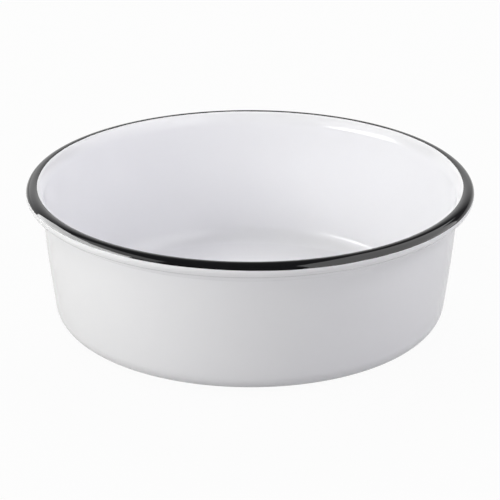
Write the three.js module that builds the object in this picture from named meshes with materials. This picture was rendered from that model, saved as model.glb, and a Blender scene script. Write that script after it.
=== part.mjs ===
// Enamelled steel serving bowl with a black rolled rim.
// One sheet is drawn into a flat-bottomed bowl and its edge is rolled outwards into a hollow bead.
// Enamel is then fired on it: a dark ground coat on the steel, a white cover coat, and black on the bead.
// Millimetres, +Z up. The origin is the middle of the base, on the surface that the bowl stands on.

import * as THREE from 'three';

const { degToRad } = THREE.MathUtils;

// Sizes over the finished enamel
const RIM_DIAMETER = 250; // widest, across the rolled bead
const HEIGHT = 80; // from the base to the top of the bead
const BASE_FLAT_DIAMETER = 197; // the flat that stands on the table
const CORNER_RADIUS = 12; // outside curve from base to wall
const WALL_BOW_RADIUS = 900; // the wall bows out very slightly between corner and lip
const LIP_RADIUS = 10; // inside curve that leads the wall out into the bead
const BEAD_DIAMETER = 8.4; // thickness of the rolled rim

// Turns are how far the inside face has leaned outwards from upright: 90 degrees is the top of the bead
const LIP_TURN = degToRad(40); // where the lip tightens into the bead
const BLACK_INNER_TURN = degToRad(62); // edge of the black band inside the bowl
const BLACK_OUTER_TURN = degToRad(162); // edge of the black band outside, just above the widest point
const SEAM_GAP = 0.4; // slit between the rolled edge and the wall

// Sheet and coats
const STEEL = 0.6;
const GROUND_COAT = 0.12;
const COVER_COAT = 0.2;
const BOND_GAP = 0.02; // keeps each fired layer a body of its own

// Facets
const SEGMENTS = 40; // round the bowl
const ARC_STEP = degToRad(21); // along the curves of the section
const WALL_STEPS = 3;

// Layers from the inside out, as depths below the finished inside face
const coverInside = { top: 0, bottom: COVER_COAT };
const groundInside = below(coverInside, GROUND_COAT);
const sheet = below(groundInside, STEEL);
const groundOutside = below(sheet, GROUND_COAT);
const coverOutside = below(groundOutside, COVER_COAT);
const THICKNESS = coverOutside.bottom;

function below(layer, thickness) {
  const top = layer.bottom + BOND_GAP;
  return { top, bottom: top + thickness };
}

// Centres of the curves in the section: x is the distance from the axis and y is the height.
// The lip touches the bead from inside, and one wide arc touches both the corner and the lip.
const beadRadius = BEAD_DIAMETER / 2;
const beadCentre = new THREE.Vector2(RIM_DIAMETER / 2 - beadRadius, HEIGHT - beadRadius);
const lipCentre = beadCentre.clone().addScaledVector(inward(LIP_TURN), beadRadius - LIP_RADIUS);
const cornerCentre = new THREE.Vector2(BASE_FLAT_DIAMETER / 2, CORNER_RADIUS);
const wallInsideRadius = WALL_BOW_RADIUS - THICKNESS;
const wallCentre = meeting(
  cornerCentre, WALL_BOW_RADIUS - CORNER_RADIUS,
  lipCentre, wallInsideRadius + LIP_RADIUS,
);
const wallFootTurn = leanFrom(wallCentre, cornerCentre);
const wallTopTurn = leanFrom(wallCentre, lipCentre);

// The edge is rolled round until it is one seam gap from the outside of the lip
const lipToBead = LIP_RADIUS - beadRadius;
const reach = LIP_RADIUS - THICKNESS - SEAM_GAP;
const closing = Math.acos((reach ** 2 - lipToBead ** 2 - beadRadius ** 2) / (2 * lipToBead * beadRadius));
const CURL_END_TURN = 2 * Math.PI + LIP_TURN - closing;

// Direction that the inside face looks at a turn, as seen in the section
function inward(turn) {
  return new THREE.Vector2(-Math.cos(turn), Math.sin(turn));
}

// Lean of a face that lies square across the line from one centre to another
function leanFrom(from, to) {
  return Math.atan2(from.y - to.y, to.x - from.x);
}

// Point at given distances from two others, on the side of the bowl's axis
function meeting(a, fromA, b, fromB) {
  const along = b.clone().sub(a);
  const span = along.length();
  along.divideScalar(span);
  const across = new THREE.Vector2(-along.y, along.x);
  const forward = (fromA ** 2 - fromB ** 2 + span ** 2) / (2 * span);
  const aside = Math.sqrt(fromA ** 2 - forward ** 2);
  return a.clone().addScaledVector(along, forward).addScaledVector(across, aside);
}

// Stations along the inside face, each with its direction into the sheet.
// An inner curve bends round a centre inside the bowl, and an outer curve round a centre outside it.
function curve(centre, radius, from, to, steps, bends) {
  return Array.from({ length: steps + 1 }, (_, i) => {
    const face = inward(from + ((to - from) * i) / steps);
    return { at: centre.clone().addScaledVector(face, bends * radius), into: face.negate() };
  });
}

function arcSteps(from, to) {
  return Math.max(1, Math.round(Math.abs(to - from) / ARC_STEP));
}

function beadArc(from, to) {
  return curve(beadCentre, beadRadius, from, to, arcSteps(from, to), OUTER);
}

const INNER = -1;
const OUTER = 1;
const FLOOR_TURN = Math.PI / 2;
const floorMiddle = { at: new THREE.Vector2(0, THICKNESS), into: new THREE.Vector2(0, -1) };
const corner = curve(
  cornerCentre, CORNER_RADIUS - THICKNESS,
  FLOOR_TURN, wallFootTurn, arcSteps(FLOOR_TURN, wallFootTurn), INNER,
);
const wall = curve(wallCentre, wallInsideRadius, wallFootTurn, wallTopTurn, WALL_STEPS, INNER);
const lip = curve(lipCentre, LIP_RADIUS, wallTopTurn, LIP_TURN, arcSteps(wallTopTurn, LIP_TURN), OUTER);
const beadInside = beadArc(LIP_TURN, BLACK_INNER_TURN);
const beadBlack = beadArc(BLACK_INNER_TURN, BLACK_OUTER_TURN);
const beadUnder = beadArc(BLACK_OUTER_TURN, CURL_END_TURN);

// Stretches of the section, each starting where the last one ends
const upToLip = [floorMiddle, ...corner, ...wall.slice(1)];
const upToBlack = [...upToLip, ...lip.slice(1), ...beadInside.slice(1)];
const wholeSheet = [...upToBlack, ...beadBlack.slice(1), ...beadUnder.slice(1)];

// One layer, turned round the axis: its section goes out along the lower face and back along the upper one
function turned(stations, layer) {
  const pointAt = (station, depth) => station.at.clone().addScaledVector(station.into, depth);
  const lower = stations.map((station) => pointAt(station, layer.bottom));
  const upper = stations.map((station) => pointAt(station, layer.top)).reverse();
  const section = [...lower, ...upper];
  if (stations[0] !== floorMiddle) section.push(lower[0].clone());
  return new THREE.LatheGeometry(section, SEGMENTS).rotateX(Math.PI / 2);
}

const steel = new THREE.MeshStandardMaterial({ color: 0x8b8f93, roughness: 0.45, metalness: 1 });
const groundEnamel = new THREE.MeshStandardMaterial({ color: 0x1d2330, roughness: 0.5, metalness: 0 });
const whiteEnamel = new THREE.MeshStandardMaterial({ color: 0xf0f0f3, roughness: 0.12, metalness: 0 });
const blackEnamel = new THREE.MeshStandardMaterial({ color: 0x141416, roughness: 0.1, metalness: 0 });

const bowl = new THREE.Group();

function addLayer(name, stations, layer, material) {
  const mesh = new THREE.Mesh(turned(stations, layer), material);
  mesh.name = name;
  bowl.add(mesh);
}

addLayer('steel_body', wholeSheet, sheet, steel);
addLayer('ground_coat_inside', wholeSheet, groundInside, groundEnamel);
addLayer('ground_coat_outside', upToLip, groundOutside, groundEnamel);
addLayer('white_coat_inside', upToBlack, coverInside, whiteEnamel);
addLayer('black_rim_band', beadBlack, coverInside, blackEnamel);
addLayer('white_coat_under_rim', beadUnder, coverInside, whiteEnamel);
addLayer('white_coat_outside', upToLip, coverOutside, whiteEnamel);

export default bowl;
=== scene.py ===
"""Enamelled steel serving bowl with a black rolled rim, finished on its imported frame. Metres, +Z up."""

import math

import bmesh
import bpy
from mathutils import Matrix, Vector


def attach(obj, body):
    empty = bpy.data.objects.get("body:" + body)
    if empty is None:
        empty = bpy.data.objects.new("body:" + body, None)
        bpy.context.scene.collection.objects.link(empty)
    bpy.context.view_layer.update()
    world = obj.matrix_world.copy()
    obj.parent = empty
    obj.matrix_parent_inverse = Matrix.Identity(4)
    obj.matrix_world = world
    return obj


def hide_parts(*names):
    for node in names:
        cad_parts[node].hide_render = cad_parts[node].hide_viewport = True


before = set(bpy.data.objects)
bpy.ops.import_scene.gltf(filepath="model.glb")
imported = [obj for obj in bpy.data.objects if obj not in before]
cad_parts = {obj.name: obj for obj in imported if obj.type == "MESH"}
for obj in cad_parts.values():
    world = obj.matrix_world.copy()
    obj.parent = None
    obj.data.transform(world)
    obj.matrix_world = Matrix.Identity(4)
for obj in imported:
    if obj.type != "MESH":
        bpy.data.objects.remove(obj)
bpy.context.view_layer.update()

# Steel body
# One round of low-carbon sheet, 0.6 mm thick, deep drawn into a flat-bottomed bowl. Its edge is rolled
# outwards into a hollow bead that stiffens the rim, and enamel then hides all but the hollow of the bead.
mm = 0.001
rim_radius = 125 * mm
bowl_height = 80 * mm
base_flat_radius = 98.5 * mm
corner_radius = 12 * mm
wall_bow_radius = 900 * mm
lip_radius = 10 * mm
bead_radius = 4.2 * mm
lip_turn = math.radians(40)
black_inner_turn = math.radians(62)
black_outer_turn = math.radians(162)
seam_gap = 0.4 * mm
steel_thickness = 0.6 * mm
ground_thickness = 0.12 * mm
cover_thickness = 0.2 * mm
bond_gap = 0.02 * mm

# Depths of each layer's faces below the finished inside face, from the inside out
inside_cover = (0, cover_thickness)
inside_ground = (inside_cover[1] + bond_gap, inside_cover[1] + bond_gap + ground_thickness)
sheet = (inside_ground[1] + bond_gap, inside_ground[1] + bond_gap + steel_thickness)
outside_ground = (sheet[1] + bond_gap, sheet[1] + bond_gap + ground_thickness)
outside_cover = (outside_ground[1] + bond_gap, outside_ground[1] + bond_gap + cover_thickness)
thickness = outside_cover[1]
arc_step = math.radians(4.5)


def facing(turn):
    """The way the inside face looks when the sheet has leaned out from upright by this turn."""
    return Vector((-math.cos(turn), 0, math.sin(turn)))


def arc(centre, radius, start, end, least_steps=2):
    """Stations of the section along an arc; a negative radius bends round a centre inside the bowl."""
    steps = max(least_steps, round(abs(end - start) / arc_step))
    turns = [start + (end - start) * i / steps for i in range(steps + 1)]
    return [(turn, centre + facing(turn) * radius) for turn in turns]


# The lip touches the bead from inside, and one wide arc touches both the corner and the lip
bead_centre = Vector((rim_radius - bead_radius, 0, bowl_height - bead_radius))
lip_centre = bead_centre + facing(lip_turn) * (bead_radius - lip_radius)
corner_centre = Vector((base_flat_radius, 0, corner_radius))
wall_inside_radius = wall_bow_radius - thickness
from_corner = wall_bow_radius - corner_radius
from_lip = wall_inside_radius + lip_radius
span = lip_centre - corner_centre
forward = (from_corner**2 - from_lip**2 + span.length_squared) / (2 * span.length)
aside = math.sqrt(from_corner**2 - forward**2)
along = span.normalized()
wall_centre = corner_centre + along * forward + Vector((-along.z, 0, along.x)) * aside
wall_foot_turn = math.atan2(wall_centre.z - corner_centre.z, corner_centre.x - wall_centre.x)
wall_top_turn = math.atan2(wall_centre.z - lip_centre.z, lip_centre.x - wall_centre.x)
lip_to_bead = lip_radius - bead_radius
reach = lip_radius - thickness - seam_gap
closing = math.acos((reach**2 - lip_to_bead**2 - bead_radius**2) / (2 * lip_to_bead * bead_radius))
curl_end_turn = math.tau + lip_turn - closing

# Stretches of the section from the middle of the floor outwards. The wall has close stations only in the
# crease under the bead, where the outside coat is thicker.
floor_turn = math.pi / 2
crease_height = 8 * mm
crease_turn = wall_top_turn + crease_height / wall_inside_radius
wall_steps = 6
crease_steps = 20
floor_middle = [(floor_turn, Vector((0, 0, thickness)))]
corner = arc(corner_centre, thickness - corner_radius, floor_turn, wall_foot_turn)
wall = arc(wall_centre, -wall_inside_radius, wall_foot_turn, crease_turn, wall_steps)
crease = arc(wall_centre, -wall_inside_radius, crease_turn, wall_top_turn, crease_steps)
lip = arc(lip_centre, lip_radius, wall_top_turn, lip_turn)
bead_inside = arc(bead_centre, bead_radius, lip_turn, black_inner_turn)
bead_black = arc(bead_centre, bead_radius, black_inner_turn, black_outer_turn)
bead_under = arc(bead_centre, bead_radius, black_outer_turn, curl_end_turn)
up_to_lip = floor_middle + corner + wall[1:] + crease[1:]
up_to_black = up_to_lip + lip[1:] + bead_inside[1:]
whole_sheet = up_to_black + bead_black[1:] + bead_under[1:]


def add(tree, kind, inputs=None, **settings):
    """Adds a node, sets it up, and links or fills the inputs given by name or number."""
    node = tree.nodes.new(kind)
    for name, value in settings.items():
        setattr(node, name, value)
    for key, value in (inputs or {}).items():
        if isinstance(value, bpy.types.NodeSocket):
            tree.links.new(value, node.inputs[key])
        else:
            node.inputs[key].default_value = value
    return node


# Geometry Nodes turn a layer's section round the axis into one closed shell. The edges of the black trim on
# the bead wander a little, as hand-finished trim does, by rolling the section about the bead's centre. The
# same roll makes the trim narrower along the far side and wider at the right.
turning = bpy.data.node_groups.new("turned_layer", "GeometryNodeTree")
turning.is_modifier = True
turning.interface.new_socket("Geometry", in_out="OUTPUT", socket_type="NodeSocketGeometry")
input_kinds = {
    "Section": "NodeSocketGeometry",
    "Upper depth": "NodeSocketFloat",
    "Lower depth": "NodeSocketFloat",
    "Closed ring": "NodeSocketInt",
    "Round steps": "NodeSocketInt",
    "Bead centre": "NodeSocketVector",
    "Edge waver": "NodeSocketFloat",
    "Wavers per radian": "NodeSocketFloat",
    "Far roll": "NodeSocketFloat",
    "Right roll": "NodeSocketFloat",
    "Finish": "NodeSocketMaterial",
}
input_ids = {
    name: turning.interface.new_socket(name, in_out="INPUT", socket_type=kind).identifier
    for name, kind in input_kinds.items()
}
given = add(turning, "NodeGroupInput").outputs
stations = add(turning, "GeometryNodeAttributeDomainSize", {0: given["Section"]}).outputs["Point Count"]
both_faces = add(turning, "ShaderNodeMath", {0: stations, 1: 2.0}, operation="MULTIPLY").outputs[0]
rows = add(turning, "ShaderNodeMath", {0: both_faces, 1: given["Closed ring"]}, operation="ADD").outputs[0]
columns = add(turning, "ShaderNodeMath", {0: given["Round steps"], 1: 1.0}, operation="ADD").outputs[0]
grid = add(turning, "GeometryNodeMeshGrid", {"Vertices X": rows, "Vertices Y": columns}).outputs["Mesh"]
index = add(turning, "GeometryNodeInputIndex").outputs[0]
row_share = add(turning, "ShaderNodeMath", {0: index, 1: columns}, operation="DIVIDE").outputs[0]
row_floor = add(turning, "ShaderNodeMath", {0: row_share}, operation="FLOOR").outputs[0]
row = add(turning, "ShaderNodeMath", {0: row_floor, 1: both_faces}, operation="MODULO").outputs[0]
column = add(turning, "ShaderNodeMath", {0: index, 1: columns}, operation="MODULO").outputs[0]
on_upper = add(turning, "FunctionNodeCompare", {0: row, 1: stations}, operation="GREATER_EQUAL").outputs[0]
row_back = add(turning, "ShaderNodeMath", {0: both_faces, 1: row}, operation="SUBTRACT").outputs[0]
row_back = add(turning, "ShaderNodeMath", {0: row_back, 1: 1.0}, operation="SUBTRACT").outputs[0]
station = {0: on_upper, 1: row, 2: row_back}
station = add(turning, "GeometryNodeSwitch", station, input_type="FLOAT").outputs[0]
station_kinds = {
    "position": "FLOAT_VECTOR",
    "into": "FLOAT_VECTOR",
    "waver": "FLOAT",
    "inner": "FLOAT",
    "outer": "FLOAT",
    "pool": "FLOAT",
}
sampled = {}
for name, kind in station_kinds.items():
    source = add(turning, "GeometryNodeInputNamedAttribute", {"Name": name}, data_type=kind).outputs[0]
    picked = {"Geometry": given["Section"], "Value": source, "Index": station}
    sampled[name] = add(turning, "GeometryNodeSampleIndex", picked, data_type=kind).outputs[0]
# A station's pool of enamel adds to the depth of the lower face
pooled = {0: given["Lower depth"], 1: sampled["pool"]}
pooled = add(turning, "ShaderNodeMath", pooled, operation="ADD").outputs[0]
depth = {0: on_upper, 1: pooled, 2: given["Upper depth"]}
depth = add(turning, "GeometryNodeSwitch", depth, input_type="FLOAT").outputs[0]
sunk = {0: sampled["into"], "Scale": depth}
sunk = add(turning, "ShaderNodeVectorMath", sunk, operation="SCALE").outputs[0]
on_face = add(turning, "ShaderNodeVectorMath", {0: sampled["position"], 1: sunk}, operation="ADD").outputs[0]
turn_share = {0: column, 1: given["Round steps"]}
turn_share = add(turning, "ShaderNodeMath", turn_share, operation="DIVIDE").outputs[0]
angle = add(turning, "ShaderNodeMath", {0: turn_share, 1: math.tau}, operation="MULTIPLY").outputs[0]
angle_sine = add(turning, "ShaderNodeMath", {0: angle}, operation="SINE").outputs[0]
angle_cosine = add(turning, "ShaderNodeMath", {0: angle}, operation="COSINE").outputs[0]
on_circle = add(turning, "ShaderNodeCombineXYZ", {"X": angle_cosine, "Y": angle_sine}).outputs[0]
on_circle = {0: on_circle, "Scale": given["Wavers per radian"]}
on_circle = add(turning, "ShaderNodeVectorMath", on_circle, operation="SCALE").outputs[0]
each_edge = {0: sampled["position"], 1: (0, 0, 1 / mm)}
each_edge = add(turning, "ShaderNodeVectorMath", each_edge, operation="MULTIPLY").outputs[0]
wander = add(turning, "ShaderNodeVectorMath", {0: on_circle, 1: each_edge}, operation="ADD").outputs[0]
wander = add(turning, "ShaderNodeTexNoise", {"Vector": wander, "Scale": 1.0, "Detail": 3.0}).outputs[0]
wander = add(turning, "ShaderNodeMath", {0: wander, 1: 0.5}, operation="SUBTRACT").outputs[0]
wander = add(turning, "ShaderNodeMath", {0: wander, 1: sampled["waver"]}, operation="MULTIPLY").outputs[0]
wander = add(turning, "ShaderNodeMath", {0: wander, 1: given["Edge waver"]}, operation="MULTIPLY").outputs[0]
# The rolls grow with the sine towards the far side and with the cosine towards the right
far_side_full = 0.6
to_far_side = {"Value": angle_sine, "From Max": far_side_full, "To Max": given["Far roll"]}
to_far_side = add(turning, "ShaderNodeMapRange", to_far_side, interpolation_type="SMOOTHSTEP").outputs[0]
right_start, right_full = -0.2, 0.25
to_right = {
    "Value": angle_cosine,
    "From Min": right_start,
    "From Max": right_full,
    "To Max": given["Right roll"],
}
to_right = add(turning, "ShaderNodeMapRange", to_right, interpolation_type="SMOOTHSTEP").outputs[0]
roll = {0: to_far_side, 1: sampled["inner"], 2: wander}
roll = add(turning, "ShaderNodeMath", roll, operation="MULTIPLY_ADD").outputs[0]
roll = {0: to_right, 1: sampled["outer"], 2: roll}
roll = add(turning, "ShaderNodeMath", roll, operation="MULTIPLY_ADD").outputs[0]
rolled = {"Vector": on_face, "Center": given["Bead centre"], "Angle": roll}
rolled = add(turning, "ShaderNodeVectorRotate", rolled, rotation_type="Y_AXIS").outputs[0]
spun = {"Vector": rolled, "Angle": angle}
spun = add(turning, "ShaderNodeVectorRotate", spun, rotation_type="Z_AXIS").outputs[0]
shell = add(turning, "GeometryNodeSetPosition", {"Geometry": grid, "Position": spun}).outputs[0]
weld_distance = 0.001 * mm
shell = add(turning, "GeometryNodeMergeByDistance", {"Geometry": shell, "Distance": weld_distance}).outputs[0]
shell = add(turning, "GeometryNodeFlipFaces", {0: shell}).outputs[0]
bend = add(turning, "GeometryNodeInputMeshEdgeAngle").outputs["Unsigned Angle"]
crisp_bend = math.radians(40)
crisp = add(turning, "FunctionNodeCompare", {0: bend, 1: crisp_bend}, operation="GREATER_THAN").outputs[0]
smooth = {"Geometry": shell, "Shade Smooth": True}
shell = add(turning, "GeometryNodeSetShadeSmooth", smooth, domain="FACE").outputs[0]
crisp_edges = {"Geometry": shell, "Selection": crisp, "Shade Smooth": False}
shell = add(turning, "GeometryNodeSetShadeSmooth", crisp_edges, domain="EDGE").outputs[0]
shell = add(turning, "GeometryNodeRealizeInstances", {0: shell}).outputs[0]
shell = add(turning, "GeometryNodeSetMaterial", {"Geometry": shell, "Material": given["Finish"]}).outputs[0]
add(turning, "NodeGroupOutput", {0: shell})

round_steps = 256
edge_waver = 0.5 * mm
waver_fade = math.radians(25)
far_roll = math.radians(10)
right_roll = math.radians(6.3)
wavers_per_radian = 7.0
bead_slack = 1.01


def turned(node, section, depths, finish, pool=None):
    """A layer of the bowl as a closed shell: it stands for its CAD node and rides on the one body."""
    outline = bpy.data.meshes.new(node)
    outline.from_pydata([place for _, place in section], [], [])
    into = outline.attributes.new("into", "FLOAT_VECTOR", "POINT")
    into.data.foreach_set("vector", [c for turn, _ in section for c in -facing(turn)])
    shares = {"waver": [], "inner": [], "outer": [], "pool": pool or [0.0] * len(section)}
    for turn, place in section:
        on_bead = (place - bead_centre).length < bead_radius * bead_slack
        near_inner = max(0.0, 1 - abs(turn - black_inner_turn) / waver_fade) if on_bead else 0.0
        near_outer = max(0.0, 1 - abs(turn - black_outer_turn) / waver_fade) if on_bead else 0.0
        shares["waver"].append(max(near_inner, near_outer))
        shares["inner"].append(near_inner)
        shares["outer"].append(near_outer)
    for name, values in shares.items():
        outline.attributes.new(name, "FLOAT", "POINT").data.foreach_set("value", values)
    piece = bpy.data.objects.new(f"{node}_finish", outline)
    bpy.context.scene.collection.objects.link(piece)
    modifier = piece.modifiers.new("turning", "NODES")
    modifier.node_group = turning
    values = {
        "Upper depth": depths[0],
        "Lower depth": depths[1],
        "Closed ring": 0 if section[0] is floor_middle[0] else 1,
        "Round steps": round_steps,
        "Bead centre": bead_centre,
        "Edge waver": edge_waver / bead_radius,
        "Wavers per radian": wavers_per_radian,
        "Far roll": far_roll,
        "Right roll": right_roll,
        "Finish": finish,
    }
    for name, value in values.items():
        modifier[input_ids[name]] = value
    shaped = piece.evaluated_get(bpy.context.evaluated_depsgraph_get())
    piece.data = bpy.data.meshes.new_from_object(shaped)
    piece.modifiers.remove(modifier)
    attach(piece, "root")
    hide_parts(node)


def linear(hex_colour):
    """An sRGB hex colour as linear light, with full alpha."""
    parts = [int(hex_colour[i : i + 2], 16) / 255 for i in (1, 3, 5)]
    return [p / 12.92 if p <= 0.04045 else ((p + 0.055) / 1.055) ** 2.4 for p in parts] + [1.0]


# Drawn steel: cold-rolled and stretched over the punch, so it has a dull sheen with fine lines up the wall.
# The lines are drawn several times as wide as real ones, so that they show.
drawn_steel = bpy.data.materials.new("drawn_steel")
drawn_steel.use_nodes = True
tree = drawn_steel.node_tree
steel_shader = tree.nodes["Principled BSDF"]
steel_shader.inputs["Metallic"].default_value = 1.0
where = add(tree, "ShaderNodeTexCoord").outputs["Object"]
line_width = 0.8 * mm
line_stretch = 0.06
lines = add(tree, "ShaderNodeMapping", {"Vector": where, "Scale": (1, 1, line_stretch)}).outputs[0]
lines = add(tree, "ShaderNodeTexNoise", {"Vector": lines, "Scale": 1 / line_width, "Detail": 4.0}).outputs[0]
tone = add(tree, "ShaderNodeMix", {0: lines, 6: linear("#7d8185"), 7: linear("#9a9ea2")}, data_type="RGBA")
tree.links.new(tone.outputs[2], steel_shader.inputs["Base Color"])
dulling = {"Value": lines, "To Min": 0.36, "To Max": 0.5}
dulling = add(tree, "ShaderNodeMapRange", dulling).outputs[0]
tree.links.new(dulling, steel_shader.inputs["Roughness"])
turned("steel_body", whole_sheet, sheet, drawn_steel)

# Ground coats
# A dark cobalt-bearing enamel is fired on both faces first, because white will not hold on bare steel. It is
# dull and slightly mottled, and the cover coats hide it.
ground_enamel = bpy.data.materials.new("dark_ground_enamel")
ground_enamel.use_nodes = True
tree = ground_enamel.node_tree
ground_shader = tree.nodes["Principled BSDF"]
ground_shader.inputs["IOR"].default_value = 1.52
ground_shader.inputs["Roughness"].default_value = 0.42
where = add(tree, "ShaderNodeTexCoord").outputs["Object"]
mottle_width = 2.5 * mm
mottle = {"Vector": where, "Scale": 1 / mottle_width, "Detail": 4.0}
mottle = add(tree, "ShaderNodeTexNoise", mottle).outputs[0]
tone = add(tree, "ShaderNodeMix", {0: mottle, 6: linear("#161a24"), 7: linear("#262e3f")}, data_type="RGBA")
tree.links.new(tone.outputs[2], ground_shader.inputs["Base Color"])
turned("ground_coat_inside", whole_sheet, inside_ground, ground_enamel)
turned("ground_coat_outside", up_to_lip, outside_ground, ground_enamel)

# White coats
# Opaque white vitreous enamel, fired over the ground coat in three areas: the inside up to the black trim,
# the underside of the bead, and the base and wall outside. It melts to smooth glass with a faint orange peel.
white_enamel = bpy.data.materials.new("white_vitreous_enamel")
white_enamel.use_nodes = True
tree = white_enamel.node_tree
white_shader = tree.nodes["Principled BSDF"]
white_shader.inputs["IOR"].default_value = 1.52
where = add(tree, "ShaderNodeTexCoord").outputs["Object"]
cloud_width = 45 * mm
cloud = add(tree, "ShaderNodeTexNoise", {"Vector": where, "Scale": 1 / cloud_width, "Detail": 2.0}).outputs[0]
tone = add(tree, "ShaderNodeMix", {0: cloud, 6: linear("#eeeef2"), 7: linear("#f2f2f5")}, data_type="RGBA")
tree.links.new(tone.outputs[2], white_shader.inputs["Base Color"])
peel_width = 2.2 * mm
peel = add(tree, "ShaderNodeTexNoise", {"Vector": where, "Scale": 1 / peel_width, "Detail": 1.0}).outputs[0]
gloss = add(tree, "ShaderNodeMapRange", {"Value": cloud, "To Min": 0.11, "To Max": 0.15}).outputs[0]
tree.links.new(gloss, white_shader.inputs["Roughness"])
peel_depth = 0.004 * mm
peel_bump = {"Height": peel, "Strength": 1.0, "Distance": peel_depth}
peel_bump = add(tree, "ShaderNodeBump", peel_bump).outputs[0]
tree.links.new(peel_bump, white_shader.inputs["Normal"])
turned("white_coat_inside", up_to_black, inside_cover, white_enamel)
turned("white_coat_under_rim", bead_under, inside_cover, white_enamel)

# In the crease under the bead the outside coat pools into a hollow curve that touches the wall and the bead
pool_radius = 4 * mm
wall_outside = rim_radius - 2 * bead_radius
pool_x = wall_outside + pool_radius
pool_z = bead_centre.z - math.sqrt((bead_radius + pool_radius) ** 2 - (bead_centre.x - pool_x) ** 2)
bead_edge = bead_radius + bond_gap
pool = []
for turn, place in up_to_lip:
    face = place - facing(turn) * outside_cover[1]
    up_curve, under_bead = face.z - pool_z, bead_centre.z - face.z
    reach_out = 0.0
    if 0 < up_curve < pool_radius:
        reach_out = pool_x - math.sqrt(pool_radius**2 - up_curve**2) - face.x
    elif up_curve >= pool_radius:
        reach_out = pool_radius
    if under_bead < bead_edge:
        reach_out = min(reach_out, bead_centre.x - math.sqrt(bead_edge**2 - under_bead**2) - face.x)
    pool.append(max(0.0, reach_out))
turned("white_coat_outside", up_to_lip, outside_cover, white_enamel, pool)

# Black rim band
# Black vitreous enamel, wiped round the top of the bead and fired on. It is deep and glossy, so it shows
# bright windows and the pale surroundings as clean stripes.
black_enamel = bpy.data.materials.new("black_vitreous_enamel")
black_enamel.use_nodes = True
tree = black_enamel.node_tree
black_shader = tree.nodes["Principled BSDF"]
black_shader.inputs["IOR"].default_value = 1.52
where = add(tree, "ShaderNodeTexCoord").outputs["Object"]
flow_width = 6 * mm
flow = add(tree, "ShaderNodeTexNoise", {"Vector": where, "Scale": 1 / flow_width, "Detail": 2.0}).outputs[0]
tone = add(tree, "ShaderNodeMix", {0: flow, 6: linear("#0c0c0e"), 7: linear("#131316")}, data_type="RGBA")
tree.links.new(tone.outputs[2], black_shader.inputs["Base Color"])
gloss = add(tree, "ShaderNodeMapRange", {"Value": flow, "To Min": 0.03, "To Max": 0.06}).outputs[0]
tree.links.new(gloss, black_shader.inputs["Roughness"])
flow_depth = 0.01 * mm
flow_bump = {"Height": flow, "Strength": 1.0, "Distance": flow_depth}
flow_bump = add(tree, "ShaderNodeBump", flow_bump).outputs[0]
tree.links.new(flow_bump, black_shader.inputs["Normal"])
turned("black_rim_band", bead_black, inside_cover, black_enamel)

# Studio sweep
# A wide round of matt white paper that lies a hair below the bowl's base and turns up far away from it. It
# looks white to the eye and half white in the gloss, and keeps a soft trace of the bowl's shadow.
sweep_radius = 5.0
sweep_bend = 0.5
sweep_height = 0.62
sweep_steps = 96
bend_steps = 8
sweep_drop = 0.05 * mm
sweep_section = [(0, -sweep_drop)]
for i in range(bend_steps + 1):
    lean = math.pi / 2 * i / bend_steps
    out = sweep_radius - sweep_bend * (1 - math.sin(lean))
    sweep_section.append((out, sweep_bend * (1 - math.cos(lean)) - sweep_drop))
sweep_section.append((sweep_radius, sweep_height))
sweep = bmesh.new()
sweep_line = [sweep.verts.new((x, 0, z)) for x, z in sweep_section]
sweep_edges = [sweep.edges.new(pair) for pair in zip(sweep_line, sweep_line[1:])]
bmesh.ops.spin(sweep, geom=sweep_edges, axis=(0, 0, 1), angle=math.tau, steps=sweep_steps)
bmesh.ops.remove_doubles(sweep, verts=sweep.verts, dist=mm)
bmesh.ops.recalc_face_normals(sweep, faces=sweep.faces)
for face in sweep.faces:
    face.smooth = True
sweep_mesh = bpy.data.meshes.new("studio_sweep")
sweep.to_mesh(sweep_mesh)
sweep.free()
studio_sweep = bpy.data.objects.new("studio_sweep", sweep_mesh)
bpy.context.scene.collection.objects.link(studio_sweep)
paper = bpy.data.materials.new("matt_white_paper")
paper.use_nodes = True
tree = paper.node_tree
paper_shader = tree.nodes["Principled BSDF"]
paper_shader.inputs["Base Color"].default_value = linear("#bebebe")
paper_shader.inputs["Roughness"].default_value = 0.9
paper_shader.inputs["Specular IOR Level"].default_value = 0.1
ray = add(tree, "ShaderNodeLightPath").outputs
white_to_eye = 0.95
white_in_gloss = 0.5
gloss_ray = {0: ray["Is Glossy Ray"], 1: ray["Is Transmission Ray"]}
gloss_ray = add(tree, "ShaderNodeMath", gloss_ray, operation="MAXIMUM").outputs[0]
white_share = {0: gloss_ray, 1: white_in_gloss}
white_share = add(tree, "ShaderNodeMath", white_share, operation="MULTIPLY").outputs[0]
white_share = {0: ray["Is Camera Ray"], 1: white_to_eye, 2: white_share}
white_share = add(tree, "ShaderNodeMath", white_share, operation="MULTIPLY_ADD").outputs[0]
white_paper = add(tree, "ShaderNodeEmission", {"Color": (1, 1, 1, 1), "Strength": 1.0})
paper_mix = {0: white_share, 1: paper_shader.outputs[0], 2: white_paper.outputs[0]}
paper_mix = add(tree, "ShaderNodeMixShader", paper_mix)
tree.links.new(paper_mix.outputs[0], tree.nodes["Material Output"].inputs["Surface"])
sweep_mesh.materials.append(paper)

# Studio light
# Soft lamps stand round the bowl, strongest at the left front and slightly lilac at the front and right. The
# gloss shows none of them, only windows at both sides and a white backdrop that fades into a dark room.
bowl_middle = Vector((0, 0, bowl_height / 2))


def around(azimuth, elevation, distance=1.5):
    """A place round the bowl: azimuth 0 is in front of it and 90 is at its right."""
    across, up = math.radians(azimuth), math.radians(elevation)
    away = Vector((math.sin(across) * math.cos(up), -math.cos(across) * math.cos(up), math.sin(up)))
    return bowl_middle + away * distance


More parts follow.
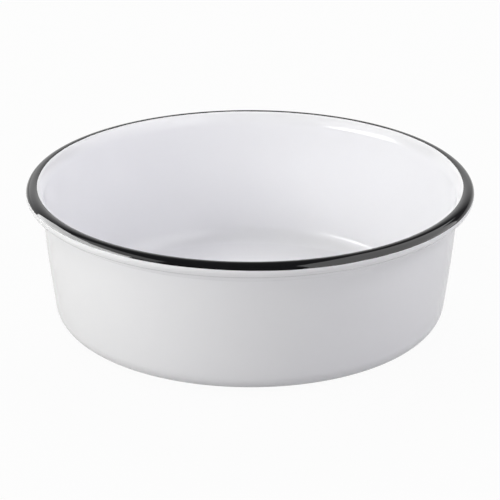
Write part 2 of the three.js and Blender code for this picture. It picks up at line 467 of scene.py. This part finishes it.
def softbox(name, place, target, size, radiance, tint, in_gloss=False):
    """A rectangular lamp that faces a target; radiance is how bright it looks, whatever its size."""
    lamp = bpy.data.lights.new(name, "AREA")
    lamp.shape = "RECTANGLE"
    lamp.size, lamp.size_y = size
    lamp.energy = radiance * math.pi * lamp.size * lamp.size_y
    lamp.color = linear(tint)[:3]
    holder = bpy.data.objects.new(name, lamp)
    bpy.context.scene.collection.objects.link(holder)
    holder.location = place
    holder.rotation_euler = (target - place).to_track_quat("-Z", "Y").to_euler()
    holder.visible_diffuse = not in_gloss
    holder.visible_glossy = in_gloss


softbox("left_key", around(-62, 25), bowl_middle, (0.8, 0.5), 5.4, "#fffffa")
softbox("left_low", around(-60, 10), bowl_middle, (0.8, 0.4), 2.2, "#fffffa")
softbox("left_top", around(-85, 50), bowl_middle, (0.9, 0.7), 3.5, "#fffffa")
softbox("front_fill", around(0, 18, 1.6), bowl_middle, (1.2, 0.5), 2.7, "#fdfcff")
softbox("right_low", around(85, 10), bowl_middle, (0.8, 0.4), 3.0, "#fdfcff")
softbox("right_fill", around(85, 45), bowl_middle, (0.9, 0.7), 4.0, "#fdfcff")
softbox("back_fill", around(180, 45), bowl_middle, (0.9, 0.9), 4.3, "#fffffa")

# Windows of light that only the gloss shows. The bright one stands close to the left of the rim, as upright
# strips that grow taller and dimmer to the rear. The others are dim and further away.
near_window_x = -0.26
strip_count = 4
strip_width = 0.0725
first_strip_y = -0.179
first_foot, foot_drop = 0.106, 0.014
first_head, head_rise = 0.174, 0.012
first_radiance, radiance_drop = 9.6, 1.1
for i in range(strip_count):
    foot = first_foot - foot_drop * i
    head = first_head + head_rise * i
    place = Vector((near_window_x, first_strip_y + strip_width * i, (head + foot) / 2))
    across_bowl = Vector((0, place.y, place.z))
    size = (strip_width, head - foot)
    radiance = first_radiance - radiance_drop * i
    softbox(f"near_window_{i + 1}", place, across_bowl, size, radiance, "#ffffff", in_gloss=True)
for name, x, rear, front, foot, head, radiance in (
    ("left_window", -0.6, 0.2, -0.6, 0.36, 0.8, 1.3),
    ("right_window", 1.0, 0.52, -1.9, 0.0, 2.6, 1.8),
    ("right_window_rear", 1.0, 0.9, 0.52, 0.68, 2.6, 1.8),
):
    place = Vector((x, (rear + front) / 2, (foot + head) / 2))
    across_bowl = Vector((0, place.y, place.z))
    softbox(name, place, across_bowl, (rear - front, head - foot), radiance, "#ffffff", in_gloss=True)

room = bpy.data.worlds.new("white_backdrop_room")
bpy.context.scene.world = room
room.use_nodes = True
tree = room.node_tree
direction = add(tree, "ShaderNodeTexCoord").outputs["Generated"]
to_backdrop = Vector((-0.156, 0.988, 0)).normalized()
towards = {0: direction, 1: to_backdrop}
towards = add(tree, "ShaderNodeVectorMath", towards, operation="DOT_PRODUCT").outputs["Value"]
fade_start, fade_end = 0.65, 0.95
room_level, backdrop_level = 0.1, 1.0
backdrop_fade = {
    "Value": towards,
    "From Min": fade_start,
    "From Max": fade_end,
    "To Min": room_level,
    "To Max": backdrop_level,
}
backdrop_fade = add(tree, "ShaderNodeMapRange", backdrop_fade).outputs[0]
room_light = tree.nodes["Background"]
room_light.inputs["Color"].default_value = (1, 1, 1, 1)
tree.links.new(backdrop_fade, room_light.inputs["Strength"])

# Camera
# A long lens looks down on the bowl from the front, a little turned about its own axis as in the photograph.
rim_line_drop = 0.5 * mm
rim_middle = Vector((0, 0, bowl_height - rim_line_drop))
view_elevation = math.radians(20.43)
view_distance = 1.254
lens_length = 161.3
aim_height = 37.42 * mm
view_roll = math.radians(0.11)
camera = bpy.data.cameras.new("portrait_lens")
camera.lens = lens_length
camera.sensor_width = 36
camera_holder = bpy.data.objects.new("portrait_camera", camera)
bpy.context.scene.collection.objects.link(camera_holder)
back = Vector((0, -math.cos(view_elevation), math.sin(view_elevation)))
camera_holder.location = rim_middle + back * view_distance
look = Vector((0, 0, aim_height)) - camera_holder.location
camera_holder.rotation_euler = look.to_track_quat("-Z", "Y").to_euler()
camera_holder.rotation_euler.rotate_axis("Z", view_roll)
bpy.context.scene.camera = camera_holder
bpy.context.scene.view_settings.view_transform = "Standard"

bpy.context.view_layer.update()
